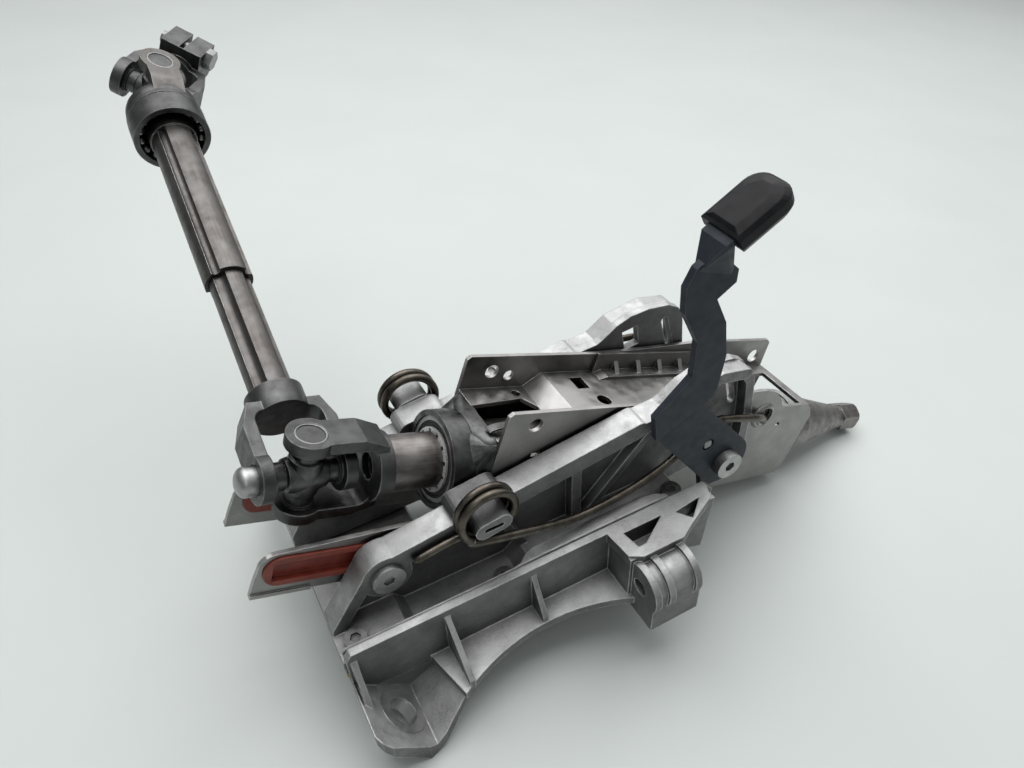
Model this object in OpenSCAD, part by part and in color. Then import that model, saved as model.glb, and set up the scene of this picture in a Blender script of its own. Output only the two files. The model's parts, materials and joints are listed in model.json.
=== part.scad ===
// Steering column with a tilting, telescoping guide box and a jointed intermediate shaft.
// Millimetres. The origin is the centre of the wheel end of the steering shaft.
// The column lies on its two front feet and on its wheel end, as it would on a bench.

/* [Layout] */
// Slope of the steering axis below the base rails, in degrees
column_slope = 21.4; // [18:0.2:24]
// Slope of the base rails above the bench, in degrees
lay_angle = 6.95; // [5:0.02:8]
// Height of the steering axis above the slide slots
axis_h = 37.2; // [36:0.2:39]
// Distance from the tilt axis forward to the upper universal joint
joint_s = 36; // [34:0.5:40]
// Distance from the tilt axis to the wheel end of the steering shaft
wheel_s = 405; // [395:1:420]

/* [Guide box] */
// Width of the guide box over its side walls
box_w = 52; // [50:0.5:54]
// Thickness of the guide box sheet
box_t = 2.5; // [2:0.1:3]
// Height of the side walls above the slide slots
box_top = 84; // [82:0.5:87]
// Height of the raised part of the web above the slide slots
web_h = 74; // [73:0.5:76]
// Depth of the step in the web
web_step = 9; // [6:0.5:11]
// End of the guide box on the wheel side
box_end = 306; // [300:1:312]
// Height of the slide slot inside its liner
slot_h = 12; // [11:0.5:13]
// Wall of the plastic slot liner
liner_t = 1.6; // [1.2:0.1:2]
// Free length of the slot ahead of the tilt axis
slot_front = 53; // [50:1:55]
// Free length of the slot behind the tilt axis
slot_back = 21; // [19:0.5:24]

/* [Clamp] */
// Distance of the clamp bolt from the tilt axis, along the column
clamp_s = 193; // [188:1:198]
// Depth of the clamp bolt below the top of the web
clamp_drop = 12; // [11:0.5:13]
// Radius of the clamp bolt's shank
clamp_r = 4; // [3.5:0.1:4.5]
// Tilt travel each way, in degrees
tilt_travel = 3.5; // [2:0.1:4]
// Reach travel towards the wheel
reach_out = 42; // [30:1:43]
// Reach travel away from the wheel
reach_in = 12; // [8:1:12]
// Thickness of the lever plate
lever_t = 4; // [3:0.5:5]
// Sideways joggle of the lever plate
lever_joggle = 7; // [4:0.5:9]
// Thickness of the grip on the lever
grip_t = 10; // [8:0.5:13]

/* [Carrier cheeks] */
// Radius of the tilt pivot boss
boss_r = 13.5; // [12:0.5:15]
// Radius of the tilt pivot bolt's shank
pivot_r = 4; // [3.5:0.1:4.5]
// Distance from the middle plane to the inside of a cheek
cheek_in = 27.6; // [27.5:0.1:29]
// Distance from the middle plane to the outside of a cheek's ribs
cheek_out = 42; // [40:0.5:43.5]
// Thickness of a cheek's web
cheek_t = 5; // [4:0.5:6]
// Thickness of the cheek's top beam
beam_t = 11; // [9:0.5:13]

/* [Base] */
// Distance from the middle plane to the outside of a base rail
base_w = 64; // [63:0.5:68]
// Thickness of a base rail
rail_t = 4.5; // [4:0.5:6]
// Depth of the base floor below the tilt axis
floor_z = 40; // [39:0.5:44]
// Length of the base behind the tilt axis
base_len = 188; // [180:1:195]
// Radius of the hole in a front foot's sleeve
foot_hole_r = 8; // [6:0.25:9]
// Slope of a front foot, in degrees
foot_slope = 44; // [38:1:48]
// Radius of the hole in a rear lug
lug_hole_r = 5; // [4:0.25:6]

/* [Springs] */
// Radius of the spring wire
wire_r = 2.3; // [1.8:0.1:2.5]
// Mean radius of the spring coil
coil_r = 15; // [14:0.5:16]

/* [Steering shaft] */
// Radius of the tubular part of the shaft at the front bearing
tube_r = 15; // [14:0.25:15.5]
// Radius of the shaft inside the jacket
core_r = 10; // [9:0.25:11]
// Outer radius of the ball bearings
bearing_r = 23.5; // [23:0.25:24]
// Width of the ball bearings
bearing_w = 12; // [10:0.5:13]
// Radius of the bearing balls
ball_r = 3; // [2.5:0.1:3.2]
// Number of balls in a bearing
ball_count = 12; // [10:1:14]
// Outer radius of the jacket tube
jacket_r = 19; // [18:0.25:19.5]
// Width across the flats of the wheel seat
seat_flats = 19; // [17:0.5:20]
// Length of the wheel seat
seat_len = 19; // [16:0.5:24]

/* [Universal joints] */
// Distance from a joint's centre to the outside of a yoke's ear
ear_out = 24; // [23:0.5:26]
// Thickness of a yoke's ear
ear_t = 6.5; // [6:0.25:7]
// Width of a yoke's ear
ear_w = 24; // [22:0.5:24.5]
// Radius of a joint's bearing cup
cup_r = 8; // [7.5:0.25:8.5]
// Radius of a cross's journal
journal_r = 5; // [4.5:0.1:5.5]
// Distance from the joint's centre to the floor of its fork
fork_depth = 33; // [32:0.5:36]

/* [Intermediate shaft] */
// Sideways swing of the intermediate shaft from square, in degrees
bend_extra = 5.3; // [3:0.1:8]
// Rise of the intermediate shaft, in degrees
bend_rise = 17; // [14:0.5:20]
// Distance between the centres of the two universal joints
inter_len = 300; // [290:1:305]
// Depth of the lower joint's forks below its centre
low_depth = 26; // [26:0.5:30]
// Bend of the clamp yoke towards the wheel, in degrees
low_bend = 38; // [20:1:38]
// Outer radius of the lobed inner shaft
inner_r = 11; // [10:0.25:11.5]
// Radius of the grooves along the intermediate shaft
groove_r = 5; // [4.5:0.1:5.5]
// Wall of the outer tube
outer_t = 2; // [1.6:0.1:2.4]
// Distance from the upper joint to the open end of the outer tube
outer_start = 127; // [120:1:132]
// Radius of the seal ring around the lower joint
seal_r = 23; // [22:0.25:25]
// Radius of the bore for the steering gear's input shaft
pinion_r = 8.75; // [8:0.25:9]

/* [Hidden] */
// Gap between sliding faces
gap = 0.4;
// Radial running clearance of a shaft in its hole
run = 0.05;
half_w = box_w / 2;
slot_wall_h = slot_h + 2 * liner_t;
clamp_h = web_h - clamp_drop;
rail_h = 16;
clamp_x = clamp_s * cos(column_slope) + clamp_h * sin(column_slope);
clamp_z = clamp_h * cos(column_slope) - clamp_s * sin(column_slope);
clamp_arm = norm([clamp_x, clamp_z]);
clamp_angle = atan2(clamp_z, clamp_x);
shoe_len = 15;
journal_end = ear_out - 2.2;
lobe_gap = 0.3;
outer_r = inner_r + lobe_gap + outer_t;
front_bearing_s = 34;
housing_r = cheek_in - 1;
rear_bearing_s = box_end - bearing_w - 2;
lever_y = cheek_out + 9;
cone_s = box_end + 14;
foot_pivot = [-33, -floor_z];
foot_len = 38;
foot_hole_u = 24.6;
spring_x = 52.8;
spring_z = 25;

$fn = 64;

// Puts the column on the bench, with the wheel end of the shaft at the origin
module lay() {
    rotate([0, -lay_angle, 0])
        translate([-wheel_s * cos(column_slope) - axis_h * sin(column_slope), 0,
            wheel_s * sin(column_slope) - axis_h * cos(column_slope)])
            children();
}

// Frame of the guide box: x along the column, z square to it, origin on the tilt axis
module in_box() { lay() rotate([0, column_slope, 0]) children(); }

// Frame of the steering shaft: x along its axis
module on_axis(s = 0) { in_box() translate([s, 0, axis_h]) rotate([0, 90, 0]) children(); }

// Frame of the upper joint's cross: y and z along its journals
module in_cross() { in_box() translate([-joint_s, 0, axis_h]) rotate([0, 0, 90 + bend_extra]) children(); }

// Frame of the intermediate shaft: x along it, y along the fork yoke's journals
module in_shaft() { in_cross() rotate([0, -bend_rise, 0]) children(); }

// Frame of the lower joint's cross: y and z along its journals
module in_lower() { in_shaft() translate([inter_len, 0, 0]) children(); }

// Extrudes a profile of x and z from y0 to y1
module slab(y0, y1) { translate([0, y1, 0]) rotate([90, 0, 0]) linear_extrude(y1 - y0) children(); }

// A cylinder along y, from y0 to y1
module rod_y(r, y0, y1) { translate([0, y1, 0]) rotate([90, 0, 0]) cylinder(r = r, h = y1 - y0); }

// A copy on the near side and one on the far side
module both_sides() {
    children();
    mirror([0, 1, 0]) children();
}

// A flat bar in x and z between two points, with round ends
module bar_2d(a, b, w) {
    t = atan2(b[1] - a[1], b[0] - a[0]);
    polygon(concat(arc(b, w / 2, t - 90, t + 90, 10), arc(a, w / 2, t + 90, t + 270, 10)));
}

// A slot in x with round ends, between two stations, at height z
module slot_2d(x0, x1, z, w) {
    for (x = [x0, x1]) translate([x, z]) circle(d = w);
    translate([x0, z - w / 2]) square([x1 - x0, w]);
}

// Ring between two radii
module ring(r_out, r_in, h) {
    difference() {
        cylinder(r = r_out, h = h);
        translate([0, 0, -1]) cylinder(r = r_in, h = h + 2);
    }
}

// Points on a circular arc in x and z
function arc(c, r, a0, a1, n) = [for (i = [0:n]) c + r * [cos(a0 + (a1 - a0) * i / n), sin(a0 + (a1 - a0) * i / n)]];

// Base

// Side view of a base rail
module base_rail_2d() {
    polygon([[-33, -floor_z - 9], [-33, -20], [-30, -16], [base_len - 4, -16], [base_len, -20],
        [base_len - 4, -56], [base_len - 30, -58], [120, -53], [0, -53]]);
}

// Flange outside a base rail, with its hollow edge
flange_top = -48;
flange_t = 5;
edge_c = [72, -190];
edge_r = 113;
function flange_edge(x) = edge_c[1] + sqrt(edge_r * edge_r - (x - edge_c[0]) * (x - edge_c[0]));

module base_flange_2d() {
    polygon(concat([[124, -base_w + 1], [8, -base_w + 1]], arc(edge_c, edge_r, 120, 64, 16)));
}

// Side view of a front foot: a sloping pad and the wall behind it
module foot_2d() {
    polygon([foot_pivot, foot_low, [18, flange_top - 6], [24, flange_top], [24, flange_top - flange_t], [19, flange_top - 11],
        foot_low + [3, -7], foot_low + [-5, -8], foot_pivot + [0, -9]]);
}

// Outline of a front foot from above
module foot_plan_2d() {
    polygon([[-33, -base_w + 1], [-33, -94], [-31, -98], [-27, -100.5], [-10, -101], [0, -98], [18, -88], [25, -84], [25, -base_w + 1]]);
}

// Centre of the foot's pad, in x and z
foot_mid = foot_pivot + foot_hole_u * [cos(foot_slope), -sin(foot_slope)];
foot_low = foot_pivot + foot_len * [cos(foot_slope), -sin(foot_slope)];
foot_y = 80;

module at_foot() {
    translate([foot_mid[0], -foot_y, foot_mid[1]]) rotate([0, foot_slope, 0]) children();
}

// Places, outer ends and thickness of the ribs outside the rails
rib_x = [-31, 19, 69];
rib_end = [-78, flange_edge(19) + 0.5, flange_edge(69) + 0.5];
rib_t = 3;

// Rear lug: axis of its bolt hole, radius of its barrel, and its length
lug_y = 91;
lug_z = -34;
lug_r = 13;
lug_x = 120;
lug_len = 31;
plate_top = -16;
plate_t = 6.6;

module rear_lug() {
    difference() {
        union() {
            translate([lug_x, -lug_y, lug_z]) rotate([0, 90, 0]) cylinder(r = lug_r, h = lug_len);
            translate([lug_x, -lug_y - lug_r, -58]) cube([lug_len, 2 * lug_r, lug_z + 57]);
            translate([lug_x - 2, 7 - lug_y, -57.5]) cube([lug_len + 1, lug_y - base_w - 6, plate_top + 55.5]);
            // Collars on the barrel
            for (x = [0, 9, 26]) translate([lug_x + x, -lug_y, lug_z]) rotate([0, 90, 0]) cylinder(r = lug_r + 2, h = 4);
            // Top plate that runs back along the rail
            translate([0, 0, plate_top - plate_t]) linear_extrude(plate_t)
                polygon([[116, -base_w + 1], [118, -82], [125, -86], [151, -86], [160, -81], [181, -71], [base_len - 4, -base_w + 1]]);
            slab(-72, -base_w + 1) polygon([[150, plate_top - 1], [base_len - 5, plate_top - 1], [base_len - 9, -58], [150, -46]]);
        }
        translate([lug_x - 20, -lug_y, lug_z]) rotate([0, 90, 0]) cylinder(r = lug_hole_r, h = lug_len + 60);
        // Pockets in the top plate
        translate([0, 0, plate_top - 12]) linear_extrude(20) polygon([[124, -68], [149, -68], [131, -79.3], [126, -79.3]]);
        translate([0, 0, plate_top - 12]) linear_extrude(20) polygon([[157, -70], [175, -68], [163, -78]]);
    }
}

module base_side() {
    difference() {
        union() {
            slab(-base_w, -base_w + rail_t) base_rail_2d();
            translate([0, 0, flange_top - flange_t]) linear_extrude(flange_t) base_flange_2d();
            intersection() {
                slab(-110, -base_w + 1) foot_2d();
                translate([0, 0, -120]) linear_extrude(100) foot_plan_2d();
            }
            // Ribs between the rail and the flange
            for (i = [0:2]) translate([rib_x[i], 0, 0]) rotate([90, 0, 90]) linear_extrude(rib_t)
                polygon([[rib_end[i], flange_top - 2], [-base_w + 1, flange_top - 2], [-base_w + 1, -20], [rib_end[i], flange_top + 4]]);
            rear_lug();
        }
        at_foot() translate([0, 0, -20]) cylinder(r = foot_hole_r + 5, h = 40);
    }
}

module base_bracket() {
    color("darkgray") lay() {
        difference() {
            union() {
                both_sides() base_side();
                // Front bridge between the rails
                slab(-base_w + 1, base_w - 1) polygon([[-33, -floor_z], [33, -floor_z], [36, -floor_z - 9], [-33, -floor_z - 9]]);
                slab(-base_w + 1, base_w - 1) polygon([[-33, -floor_z - 8], [-28, -floor_z - 8], [-28, -62], [-33, -56]]);
            }
            translate([2, 0, -floor_z - 20]) cylinder(r = 20, h = 30);
            both_sides() for (x = bolt_x) translate([x, -bolt_y, -floor_z - 20]) cylinder(r = bolt_r + run, h = 30);
        }
        // Ledges that carry the cheeks behind the bridge
        both_sides() difference() {
            slab(-base_w + 1, -ledge_in) polygon([[33, -floor_z], [180, -floor_z], [180, -floor_z - 8], [33, -floor_z - 8]]);
            for (x = bolt_x) translate([x, -bolt_y, -floor_z - 20]) cylinder(r = bolt_r + run, h = 30);
        }
    }
}

// Steel sleeves pressed into the front feet
module foot_sleeves() {
    color("silver") lay() both_sides() at_foot() translate([0, 0, -7.4]) ring(foot_hole_r + 5, foot_hole_r, 8);
}

bolt_x = [-24, 60, 170];
bolt_r = 3;
bolt_y = base_w - 14;
// Outside of the cheek's front post, clear of the bolt heads
post_out = bolt_y - 2 * bolt_r - 2;
// Inner edges of the strips and of the ledges under them
strip_in = bolt_y - 8.4;
ledge_in = strip_in - 2;
strip_t = 2;
cheek_floor = -floor_z + strip_t;

// Plastic strips on which the cheeks slide if the carrier breaks away
module slide_strips() {
    color("khaki") lay() both_sides() difference() {
        slab(-base_w + rail_t + gap, -strip_in) polygon([[-34, -floor_z], [176, -floor_z], [176, cheek_floor], [-34, cheek_floor]]);
        for (x = bolt_x) translate([x, -bolt_y, -floor_z - 1]) cylinder(r = bolt_r + run, h = strip_t + 2);
    }
}

// Carrier cheeks

// Outline of a cheek's web in x and z
module cheek_2d() {
    polygon([[-34, cheek_floor], [-34, -26], [-13, 2], [-4, 12], [5, 12], [150, 29], [167, 31], [175, 35],
        [181, 39.5], [191, 43], [204, 43.5], [219, 41], [227, 36], [231, 29], [234, 2], [234, -24], [226, -33], [200, -36],
        [182, cheek_floor]]);
}

// Line of the cheek's top beam
module beam_2d() {
    bar_2d([3, 7], [150, 26], beam_t);
    bar_2d([150, 26], [168, 27], beam_t - 3);
    bar_2d([168, 27], [182, 36], beam_t - 4);
    bar_2d([182, 36], [204, 39.5], beam_t - 4);
    bar_2d([204, 39.5], [222, 35], beam_t - 4);
}

// A cut along an arc about the tilt axis, from the inside to the outside of a cheek
module tilt_slot(arm, angle, half, w) {
    rotate([90, 0, 0]) translate([0, 0, cheek_in - 3]) {
        rotate(angle - half) rotate_extrude(angle = 2 * half) translate([arm - w / 2, 0]) square([w, 30]);
        for (a = [angle - half, angle + half]) rotate(a) translate([arm, 0, 0]) cylinder(d = w, h = 30);
    }
}

module cheek() {
    difference() {
        union() {
            slab(-cheek_in - cheek_t, -cheek_in) cheek_2d();
            slab(-cheek_out, -cheek_in) beam_2d();
            rod_y(boss_r, -cheek_out, -cheek_in);
            // Foot rail
            slab(-base_w + rail_t + 1, -cheek_in - 1) polygon([[-34, cheek_floor], [-34, -28], [2, -28], [8, cheek_floor + 3],
                [68, cheek_floor + 3], [76, -28], [176, -28], [182, cheek_floor]]);
            // Front post, upright rib and slanting ribs
            slab(-post_out, -cheek_in) bar_2d([-30, -26], [-9, 4], 7);
            slab(-cheek_out + 3, -cheek_in) bar_2d([112, 20], [112, -30], 6);
            slab(-cheek_out + 3, -cheek_in) bar_2d([118, -28], [166, 24], 5);
            slab(-cheek_out + 3, -cheek_in) bar_2d([178, 32], [178, 12], 5);
            slab(-cheek_out + 3, -cheek_in) bar_2d([60, 12], [78, -28], 5);
            // Right-hand end rim
            slab(-cheek_out + 2, -cheek_in) bar_2d([222, 35], [228, 26], 6);
            slab(-cheek_out + 2, -cheek_in) bar_2d([228, 26], [231, 0], 6);
            slab(-cheek_out + 2, -cheek_in) bar_2d([231, 0], [231, -24], 6);
            // Nub that carries the spring coil
            slab(coil_end - wire_r - 2, -cheek_out) bar_2d([spring_x - 5, spring_z - 2], [spring_x + 5, spring_z - 0.5], 10);
            slab(-cheek_out, -cheek_in) bar_2d([spring_x - 9, spring_z - 5], [spring_x + 9, spring_z - 3], 12);
        }
        rod_y(pivot_r + run, -80, 0);
        tilt_slot(clamp_arm, clamp_angle, tilt_travel + 0.3, 2 * clamp_r + 2 * gap);
        // Windows in the horn
        slab(-cheek_in - cheek_t - 1, -cheek_in + 1) polygon([[185, 33], [196, 34], [198, 20], [188, 18]]);
        slab(-cheek_in - cheek_t - 1, -cheek_in + 1) bar_2d([217, 30], [223, 8], 5);
        for (x = bolt_x) translate([x, -bolt_y, -floor_z - 1]) cylinder(r = bolt_r + run, h = 20);
        // Lightening slot in the nub
        slab(coil_end - wire_r - 3, coil_end + 4) slot_2d(spring_x - 4, spring_x + 4, spring_z - 1.5, 2.6);
    }
}

module near_cheek() { color("gainsboro") lay() cheek(); }
module far_cheek() { color("gainsboro") lay() mirror([0, 1, 0]) cheek(); }

// Bolts that hold the cheeks to the base until they shear
module carrier_bolts() {
    color("dimgray") lay() both_sides() for (x = bolt_x) translate([x, -bolt_y, 0]) {
        top = x == bolt_x[1] ? cheek_floor + 3 : -28;
        translate([0, 0, -floor_z - 10]) cylinder(r = bolt_r, h = top + floor_z + 10.5);
        translate([0, 0, top]) difference() {
            cylinder(r = 2 * bolt_r, h = 4);
            translate([0, 0, 2]) cylinder(r = bolt_r, h = 4, $fn = 6);
        }
    }
}

// Socket-head pivot bolts on the tilt axis
module pivot_bolts() {
    color("silver") lay() both_sides() {
        rod_y(pivot_r, -cheek_out - 0.5, -half_w + box_t - gap);
        difference() {
            rod_y(8.7, -cheek_out - 3, -cheek_out);
            translate([0, -cheek_out - 1.4, 0]) rotate([90, 0, 0]) cylinder(r = 3.2, h = 4, $fn = 6);
        }
    }
}

// Springs

// Sweeps a round wire through a list of points
module wire(path, r, sides = 8) {
    n = len(path);
    tang = [for (i = [0:n - 1]) let (d = path[min(i + 1, n - 1)] - path[max(i - 1, 0)]) d / norm(d)];
    up = [0, 1, 0];
    rings = [for (i = [0:n - 1]) let (u0 = up - (up * tang[i]) * tang[i], u = u0 / norm(u0), v = cross(tang[i], u))
        for (k = [0:sides - 1]) path[i] + r * (cos(360 * k / sides) * u + sin(360 * k / sides) * v)];
    sides_f = [for (i = [0:n - 2]) for (k = [0:sides - 1])
        [i * sides + k, i * sides + (k + 1) % sides, (i + 1) * sides + (k + 1) % sides, (i + 1) * sides + k]];
    ends_f = [[for (k = [sides - 1:-1:0]) k], [for (k = [0:sides - 1]) (n - 1) * sides + k]];
    polyhedron(rings, concat([for (f = sides_f) [f[3], f[2], f[1], f[0]]], [for (f = ends_f) [for (k = [len(f) - 1:-1:0]) f[k]]]));
}

coil_turns = 1.9;
coil_pitch = 2 * wire_r + 0.5;
coil_steps = 44;
coil_start = -cheek_out - wire_r - 0.3;
coil_end = coil_start - coil_pitch * coil_turns;
// Hook of the spring on the guide box, in the base's own x and z
hook_s = 252;
hook_h = web_h - 6;
hook_hole_r = 6.5;
hook_x = hook_s * cos(column_slope) + hook_h * sin(column_slope);
hook_z = hook_h * cos(column_slope) - hook_s * sin(column_slope);

// Centre line of the near spring: short leg, coil, long leg and hook
spring_path = concat(
    [[14, coil_start, 6], [32, coil_start, 9]],
    [for (i = [0:coil_steps]) let (a = 360 * coil_turns * i / coil_steps - 88)
        [spring_x + coil_r * cos(a), coil_start + (coil_end - coil_start) * i / coil_steps, spring_z + coil_r * sin(a)]],
    [[74, coil_end + 0.6, 2], [105, coil_end + 2, -7], [140, coil_end + 4.5, -8], [170, coil_end + 7, -2],
     [196, coil_start, 12], [hook_x - 26, coil_start, hook_z + 26], [hook_x - 13, coil_start + 6, hook_z + 14],
     [hook_x - 6, -half_w - 8, hook_z + 5], [hook_x - 1, -half_w - 3, hook_z + 1.2], [hook_x + 3, -half_w + 2, hook_z - 1],
     [hook_x + 6, -half_w + 6, hook_z - 2.5]]);

module near_spring() { color("dimgray") lay() wire(spring_path, wire_r); }
module far_spring() { color("dimgray") lay() mirror([0, 1, 0]) wire(spring_path, wire_r); }

// Tilt frame and clamp

// Blocks on the pivot bolts that slide in the lined slots
module slide_shoes() {
    color("whitesmoke") in_box() both_sides() difference() {
        slab(-half_w - liner_t, -half_w + box_t - gap) translate([-shoe_len / 2, -slot_h / 2 + 0.15]) square([shoe_len, slot_h - 0.3]);
        rod_y(pivot_r + run, -60, 0);
    }
}

module at_clamp() { in_box() translate([clamp_s, 0, clamp_h]) children(); }

module clamp_bolt() {
    color("silver") at_clamp() {
        rod_y(clamp_r, -lever_y - lever_t - 1, cheek_out + 4);
        difference() {
            rod_y(8.5, -lever_y - lever_t - 6, -lever_y - lever_t - gap);
            translate([0, -lever_y - lever_t - 3.5, 0]) rotate([90, 0, 0]) cylinder(r = 3.4, h = 5, $fn = 6);
        }
    }
}

module clamp_nut() {
    color("silver") at_clamp() difference() {
        translate([0, cheek_in + cheek_t + 12, 0]) rotate([90, 0, 0]) cylinder(r = 8.5, h = 8, $fn = 6);
        rod_y(clamp_r, 0, 80);
    }
}

// Cam that bears on the near cheek and does not turn
module fixed_cam() {
    color("gray") at_clamp() difference() {
        union() {
            rod_y(12, -lever_y + 4.5, -cheek_in - cheek_t - gap);
            for (a = [0:90:270]) rotate([0, a, 0]) translate([9, 0, 0]) rod_y(1.8, -lever_y + 3.4, -lever_y + 5);
        }
        rod_y(clamp_r, -80, 0);
    }
}

module clamp_washers() {
    color("silver") at_clamp() difference() {
        rod_y(11, cheek_in + cheek_t + gap, cheek_in + cheek_t + 4);
        rod_y(clamp_r, 0, 80);
    }
}

// Cam that turns with the lever
module moving_cam() {
    color("gray") at_clamp() difference() {
        rod_y(12, -lever_y, -lever_y + 3);
        rod_y(clamp_r + run, -80, 0);
    }
}

// Lower part of the lever in x and z from the clamp bolt, up to its joggle
lever_crease = [[-58, 52], [-24, 66]];

module lever_low_2d() {
    circle(r = 17);
    polygon([[-16, -6], [-14, -16], [4, -17], [17, 2], [13, 11], lever_crease[1] + [-2, -8], lever_crease[0] + [6, -8]]);
}

// Upper part of the lever, from its joggle to its twisted neck
module lever_high_2d() {
    polygon([lever_crease[0], lever_crease[0] + [-2, 16], [-40, 86], [-40, 108], [-50, 128], [-51, 142], [-46.5, 151],
        [-37, 156], [-31, 152], [-22, 143], [-22, 136], [-32, 130], [-24, 114], [-20, 92], lever_crease[1] + [2, 6], lever_crease[1]]);
}

module in_lever() { at_clamp() rotate([0, -column_slope, 0]) children(); }

// Foot and slope of the grip, from the clamp bolt
grip_foot = [-36, 168];
grip_slope = 28;
grip_w = 26;
grip_len = 33;
// Strip that the neck of the lever is flattened to
neck_w = 17;
neck_t = 3.4;

// Frame of the grip on the lever: x towards its tip, z square to its broad face
module in_grip() {
    translate([grip_foot[0], -lever_y - lever_joggle - lever_t / 2, grip_foot[1]]) rotate([0, -grip_slope, 0]) children();
}

// The end of the neck inside the grip
module neck_end(x0, x1, in = 0) {
    in_grip() translate([x0, in - neck_w / 2, in - grip_t / 2 - neck_t / 2]) cube([x1 - x0, neck_w - 2 * in, neck_t - 2 * in]);
}

module lever_plate() {
    high = -lever_y - lever_joggle;
    color("darkslategray") in_lever() difference() {
        union() {
            slab(-lever_y - lever_t, -lever_y) lever_low_2d();
            slab(high - lever_t, high) lever_high_2d();
            // Joggle between the two parts
            hull() {
                slab(-lever_y - lever_t, -lever_y) polygon([lever_crease[0] + [6, -8], lever_crease[1] + [-2, -8], lever_crease[0] + [6, -7.5]]);
                slab(high - lever_t, high) polygon([lever_crease[0], lever_crease[1], lever_crease[0] + [0, 0.5]]);
            }
            // Twisted neck
            hull() {
                slab(high - lever_t + 0.2, high - 0.2) polygon([[-45, 149], [-37, 154], [-32, 151], [-25, 143.5], [-26, 141]]);
                neck_end(-4, -0.3, 0.2);
            }
            neck_end(-1, grip_len - 8);
        }
        rod_y(clamp_r + run, -100, 0);
        translate([-14, 0, 20]) rod_y(4, -100, 0);
    }
}

// Outline of the grip's broad face
module grip_2d(in = 0) {
    r = 9;
    w = grip_w / 2 - in;
    polygon(concat([[in / 2, w], [in / 2, -w]], arc([grip_len - r - in, r - w], r, -90, 0, 6), arc([grip_len - r - in, w - r], r, 0, 90, 6)));
}

// Moulded grip, hollowed for the lever's neck
module lever_grip() {
    color("black") in_lever() difference() {
        in_grip() hull() {
            translate([0, 0, -grip_t]) linear_extrude(1) grip_2d(1.5);
            translate([0, 0, -grip_t + 3]) linear_extrude(grip_t - 5) grip_2d();
            translate([0, 0, -1]) linear_extrude(1) grip_2d(2);
            translate([0, 0, 0.5]) linear_extrude(1) grip_2d(6);
        }
        neck_end(-1, grip_len - 8);
    }
}

// Guide box

// Start of the opening in the web at the wheel end
web_end = 242;

// Side wall of the guide box, with the slide rail at its front and a top edge of its own
module wall_2d(top) {
    polygon(concat([[-slot_front - 9, -rail_h + 1], [-slot_front - 8, -4]],
        arc([-slot_front + 2, 2], 9, 180, 95, 5),
        [[20, 18], [44, 20], [50, 26], [54, 40]], top,
        [[box_end, 64], [box_end, 18], [box_end - 4, 14], [120, 0], [60, -rail_h], [-slot_front - 9, -rail_h]]));
}

near_top = [[54, box_top - 2], [56, box_top], [218, box_top], [222, box_top + 3], [246, box_top + 4], [256, box_top + 2],
    [264, box_top - 3], [270, web_h], [box_end - 12, web_h], [box_end - 5, 71]];
far_top = [[54, box_top], [56, box_top + 2], [140, box_top + 2], [170, box_top + 4], [225, box_top + 9], [box_end - 12, box_top + 10],
    [box_end - 9, box_top + 8], [box_end - 6, 72]];

module guide_box() {
    w = half_w;
    color("lightgray") in_box() difference() {
        union() {
            slab(-w, -w + box_t) wall_2d(near_top);
            slab(w - box_t, w) wall_2d(far_top);
            // Web with its step
            slab(-w, w) polygon([[54, web_h - web_step], [96, web_h - web_step], [106, web_h], [box_end - 8, web_h],
                [box_end - 8, web_h - box_t], [107, web_h - box_t], [97, web_h - web_step - box_t], [54, web_h - web_step - box_t]]);
            // Small outward lip at the foot of each rail
            both_sides() translate([-slot_front - 9, -cheek_in + gap, -rail_h]) cube([30, cheek_in - gap - w + 1, 2]);
        }
        both_sides() slab(-w - 1, -w + box_t + 1) slot_2d(-slot_front - liner_t + slot_wall_h / 2, slot_back + liner_t - slot_wall_h / 2, 0, slot_wall_h);
        both_sides() slab(-w - 1, -w + box_t + 1) slot_2d(clamp_s - reach_out, clamp_s + reach_in, clamp_h, 2 * clamp_r + 2 * gap);
        // Hook holes for the springs
        both_sides() translate([hook_s + 2, 0, hook_h]) rod_y(hook_hole_r, -w - 1, -w + box_t + 1);
        // Opening over the front of the shaft
        translate([53, 0, 50]) linear_extrude(40) polygon([[-1, -20], [-1, 8], [36, 12], [42, 4], [42, -20]]);
        // Holes in the web
        translate([122, 6, web_h - 10]) cube([9, 11, 20]);
        translate([133, -6, web_h - 10]) cylinder(r = 4.5, h = 20);
        translate([88, 17, web_h - 20]) cylinder(r = 2.6, h = 20);
        // Holes in the walls
        translate([72, 0, box_top - 8]) rod_y(4.2, -w - 1, w + 1);
        translate([84, 0, box_top - 11]) rod_y(3.2, w - box_t - 1, w + 1);
        translate([76, -w - 1, box_top - 29]) cube([5, box_t + 2, 3]);
        translate([275, 0, 59]) rod_y(2, -w - 1, -w + box_t + 1);
        translate([box_end - 19, 0, box_top - 3]) rod_y(5, w - box_t - 1, w + 1);
        // Opening in the web at the wheel end
        translate([0, 0, web_h - 10]) linear_extrude(20)
            polygon([[web_end, -w + box_t], [web_end + 2, -8], [web_end + 16, 6], [web_end + 32, 11], [box_end - 15, 12], [box_end - 15, -w + box_t]]);
    }
}

// Red plastic liners of the two slide slots, closed on the inside
liner_floor = 1;

module slot_liners() {
    color("firebrick") in_box() both_sides() difference() {
        union() {
            slab(-half_w - 0.2, -half_w + box_t + liner_floor) slot_2d(-slot_front - liner_t + slot_wall_h / 2, slot_back + liner_t - slot_wall_h / 2, 0, slot_wall_h - 0.1);
            slab(-half_w - 1.2, -half_w) slot_2d(-slot_front + slot_wall_h / 2 - 3, slot_back - slot_wall_h / 2 + 3, 0, slot_wall_h + 3);
        }
        slab(-half_w - 2, -half_w + box_t) translate([-slot_front, -slot_h / 2]) square([slot_front + slot_back, slot_h]);
    }
}

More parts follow.
